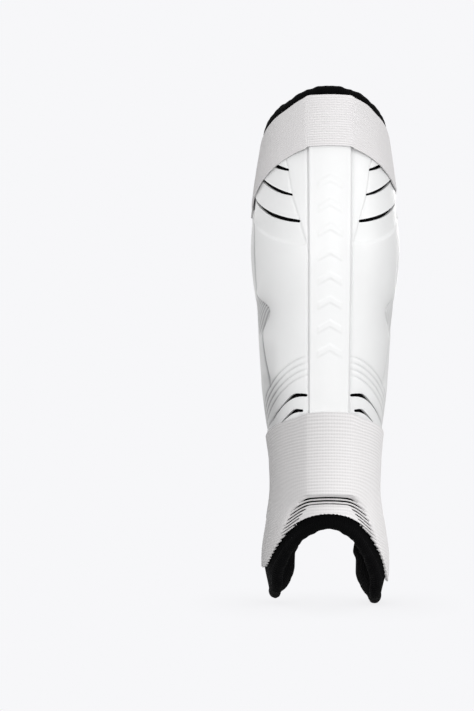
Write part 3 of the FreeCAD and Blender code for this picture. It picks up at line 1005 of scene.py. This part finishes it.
def stitches(name, path, outward, body, length=2.5, gap=1.1, radius=0.32):
    """A row of thread stitches along a path, each a small rounded bar half sunk in the cloth."""
    lengths = np.concatenate([[0], np.cumsum(np.linalg.norm(np.diff(path, axis=0), axis=1))])

    def at(values, distance):
        return np.array([np.interp(distance, lengths, column) for column in values.T])

    points, faces = [], []
    start = gap / 2
    while start + length < lengths[-1]:
        middle = at(path, start + length / 2)
        along = at(path, start + length) - middle
        along /= np.linalg.norm(along)
        up = at(outward, start + length / 2)
        up -= along * (up @ along)
        up /= np.linalg.norm(up)
        across = np.cross(along, up)
        first = len(points)
        for reach, thick in ((-1.0, 0.25), (-0.72, 0.8), (0.0, 1.0), (0.72, 0.8), (1.0, 0.25)):
            for lean in TAU * np.arange(6) / 6:
                points.append(middle + along * reach * length / 2
                              + (across * math.cos(lean) + up * math.sin(lean) * 0.8) * radius * thick)
        faces += [[first + corner for corner in face] for face in grid_faces(5, 6, wrap=True)]
        faces += [list(range(first + 5, first - 1, -1)), list(range(first + 24, first + 30))]
        start += length + gap
    obj = make(name, points, faces, WHITE_THREAD, sharp=60)
    work = bmesh.new()
    work.from_mesh(obj.data)
    bmesh.ops.recalc_face_normals(work, faces=work.faces)
    work.to_mesh(obj.data)
    work.free()
    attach(obj, body)


def sewn_box(strap, part, first, last, offset, body, cross=False, margin=0.12):
    """A stitched rectangle, with a cross inside it if asked, on a strap between two angles."""
    corners = [(0.0, margin), (1.0, margin), (1.0, 1 - margin), (0.0, 1 - margin), (0.0, margin)]
    if cross:
        corners += [(1.0, 1 - margin), (1.0, margin), (0.0, 1 - margin)]
    columns = 24
    angle, z, _ = strap.strip(first, last, columns, 2)
    for number, ((a, b), (c, d)) in enumerate(zip(corners, corners[1:])):
        t = np.linspace(0, 1, columns)
        column, share = (a + (c - a) * t) * (columns - 1), b + (d - b) * t
        angles, lows, tops = (np.interp(column, np.arange(columns), row) for row in (angle[0], *z))
        heights = lows * (1 - share) + tops * share
        path = at_angle(angles, heights, offset)
        outward = at_angle(angles, heights, offset + 1.0) - path
        stitches(f"{strap.which}_{part}_stitch_{number}", path, outward, body)


def folded(ends, outer, inner):
    """A folded end: round at its tip and thicker than the tab."""
    round_end = np.sqrt(np.clip(1 - (np.clip(ends - 0.7, 0, 1) / 0.3) ** 2, 0.02, 1))
    middle = (outer + inner) / 2
    half = (outer - inner) / 2 * round_end
    return middle + half, middle - half


def rear_strap(strap):
    """A strap from its sewn end, over the patches, to the hook tab and its folded grip."""
    at, layer, finish = strap.angle, strap.layer, strap.finish
    back, flap = f"{strap.which}_back", f"{strap.which}_flap"
    anchor_start, anchor_end = strap.anchor
    loop_start, loop_end = strap.loop
    tab_start, tab_end = strap.tab
    grip = loop_start + 4.5

    cloth = layer("strap", at(anchor_start, 1), at(tab_end + 1.0), 4.8, 3.6, strap.fabric, ribbed=0.16)
    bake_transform(cloth)
    finish(cloth, None, "elastic", "anchor_strap", "rear_strap")

    patch = layer("anchor_tape", at(anchor_start, 1), at(anchor_end, 1), 3.5, 1.8, WEBBING, 1.0)
    finish(patch, "guard", "hook_loop", "anchor_patch")
    sewn_box(strap, "anchor", at(anchor_start + 2, 1), at(anchor_end - 2, 1), 4.95, "guard", True, 0.1)

    loop = layer("loop_tape", at(loop_end), at(loop_start), 2.5, 1.8, LOOP_TAPE, 1.2)
    finish(loop, "guard", "hook_loop", "loop_patch")
    sewn_box(strap, "loop", at(loop_end - 1.2), at(loop_start + 1.2), 2.55, "guard", margin=0.09)

    tab = layer("tab_strip", at(tab_end + strap.overlap), at(grip - 2.0), 6.0, 4.9, WEBBING, 1.2, 0.06)
    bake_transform(tab)
    finish(tab, None, "elastic", "tab")
    finish(layer("tab_backing", at(tab_start), at(grip), 4.8, 3.6, WEBBING, 1.4), flap, "elastic")
    hook = layer("hook_tape", at(loop_end), at(grip), 3.5, 2.8, HOOK_TAPE, 1.8)
    finish(hook, flap, "hook_loop", "hook_patch")
    sewn_box(strap, "tab", at(tab_end + 3.2), at(tab_end + 0.8), 6.1, back)
    sewn_box(strap, "hook", at(loop_end - 1.0), at(grip + 1.0), 6.1, flap, cross=True)

    fold = layer("grip_fold", at(grip - 0.2), at(loop_start - 4.5), 6.3, 2.9, WEBBING, 0.6, shape=folded,
                 sharp=65)
    finish(fold, flap, "trim", "grip")
    sewn_box(strap, "grip", at(grip - 1.2), at(grip - 4.8), 6.35, flap, margin=0.08)


# ---------------------------------------------------------------- studio

def studio():
    camera = bpy.data.cameras.new("camera")
    camera.sensor_fit = "HORIZONTAL"
    camera.angle = 2 * math.atan(VIEW_HALF_WIDTH / EYE_DISTANCE)
    camera.clip_end = 20
    view = bpy.data.objects.new("camera", camera)
    view.location = (-61.6 * MM, -EYE_DISTANCE * MM, 172.5 * MM)
    view.rotation_euler = (math.radians(90), 0, 0)
    bpy.context.scene.collection.objects.link(view)
    bpy.context.scene.camera = view


def backdrop():
    """A pale floor as bright as the room round it, with a painted shadow only under the guard."""
    points = [(x, y, -0.5) for x, y in ((-6000, -6000), (6000, -6000), (6000, 6000), (-6000, 6000))]
    nodes = Finish("backdrop", 0.9, 0.1)
    occlusion = nodes.add("ShaderNodeAmbientOcclusion")
    occlusion.inputs["Distance"].default_value = 0.06
    emission = nodes.add("ShaderNodeEmission")
    # Painted shadow: the floor's own glow is darker where ambient occlusion finds the guard close by.
    tone = nodes.ramp(occlusion.outputs["AO"], (0.0, (0.80, 0.80, 0.81)), (1.0, ROOM_WHITE))
    nodes.link(tone, emission.inputs[0])
    nodes.link(emission.outputs[0], nodes.tree.nodes["Material Output"].inputs["Surface"])
    obj = make("floor", points, [[0, 1, 2, 3]], nodes.material, sharp=60)
    obj.visible_diffuse = False
    obj.visible_glossy = False


def room():
    """A soft room, brighter above and in front, that the camera sees as plain white."""
    world = bpy.data.worlds.new("studio")
    bpy.context.scene.world = world
    sky = Tree(world)
    split = sky.add("ShaderNodeSeparateXYZ")
    sky.link(sky.add("ShaderNodeTexCoord").outputs["Generated"], split.inputs[0])
    right, back, up = (sky.math("MULTIPLY_ADD", split.outputs[axis], 0.5, 0.5) for axis in range(3))
    rays = sky.add("ShaderNodeLightPath").outputs
    fill = sky.math("MULTIPLY", sky.ramp(up, (0.0, 0.58), (0.5, 0.65), (1.0, 1.25)),
                    sky.ramp(back, (0.0, 1.0), (0.45, 0.9), (0.7, 0.34), (1.0, 0.5)))
    fill = sky.math("MULTIPLY", fill, sky.ramp(right, (0.0, 0.42), (0.2, 0.85), (0.38, 1.0), (1.0, 1.0)))
    shine = sky.ramp(right, (0.0, 2.4), (0.3, 1.6), (0.55, 0.8), (1.0, 0.8))
    seen = sky.mix(rays["Is Camera Ray"], sky.mix(rays["Is Glossy Ray"], fill, shine), ROOM_WHITE)
    sky.link(seen, sky.tree.nodes["Background"].inputs[0])


def lights():
    """Four round soft lights, the left one for the shell and the upper band alone."""
    scene = bpy.context.scene
    scene.view_settings.view_transform = "Standard"
    for name, spot, size, power in (
        ("key", (0.35, -2.4, 0.35), 1.0, 16.9), ("side", (1.7, -0.7, 0.6), 0.9, 9.0),
        ("left", (-0.9, -1.6, 0.2), 0.9, 12.0), ("back", (0.5, 1.7, 0.7), 1.0, 8.5),
    ):
        light = bpy.data.lights.new(name, "AREA")
        light.shape = "DISK"
        light.size = size
        light.energy = power
        obj = bpy.data.objects.new(name, light)
        obj.location = spot
        obj.rotation_euler = (Vector((0, 0, 0.18)) - Vector(spot)).to_track_quat("-Z", "Y").to_euler()
        scene.collection.objects.link(obj)
        if name == "left":
            lit = bpy.data.collections.new("lit_from_the_left")
            for piece in ("shell", "upper_band"):
                lit.objects.link(bpy.data.objects[piece])
            obj.light_linking.receiver_collection = lit


studio()
backdrop()
shell()
liner()
ankle_pads()
upper_band()
lower_band()
room()
lights()
for strap in STRAPS:
    rear_strap(strap)
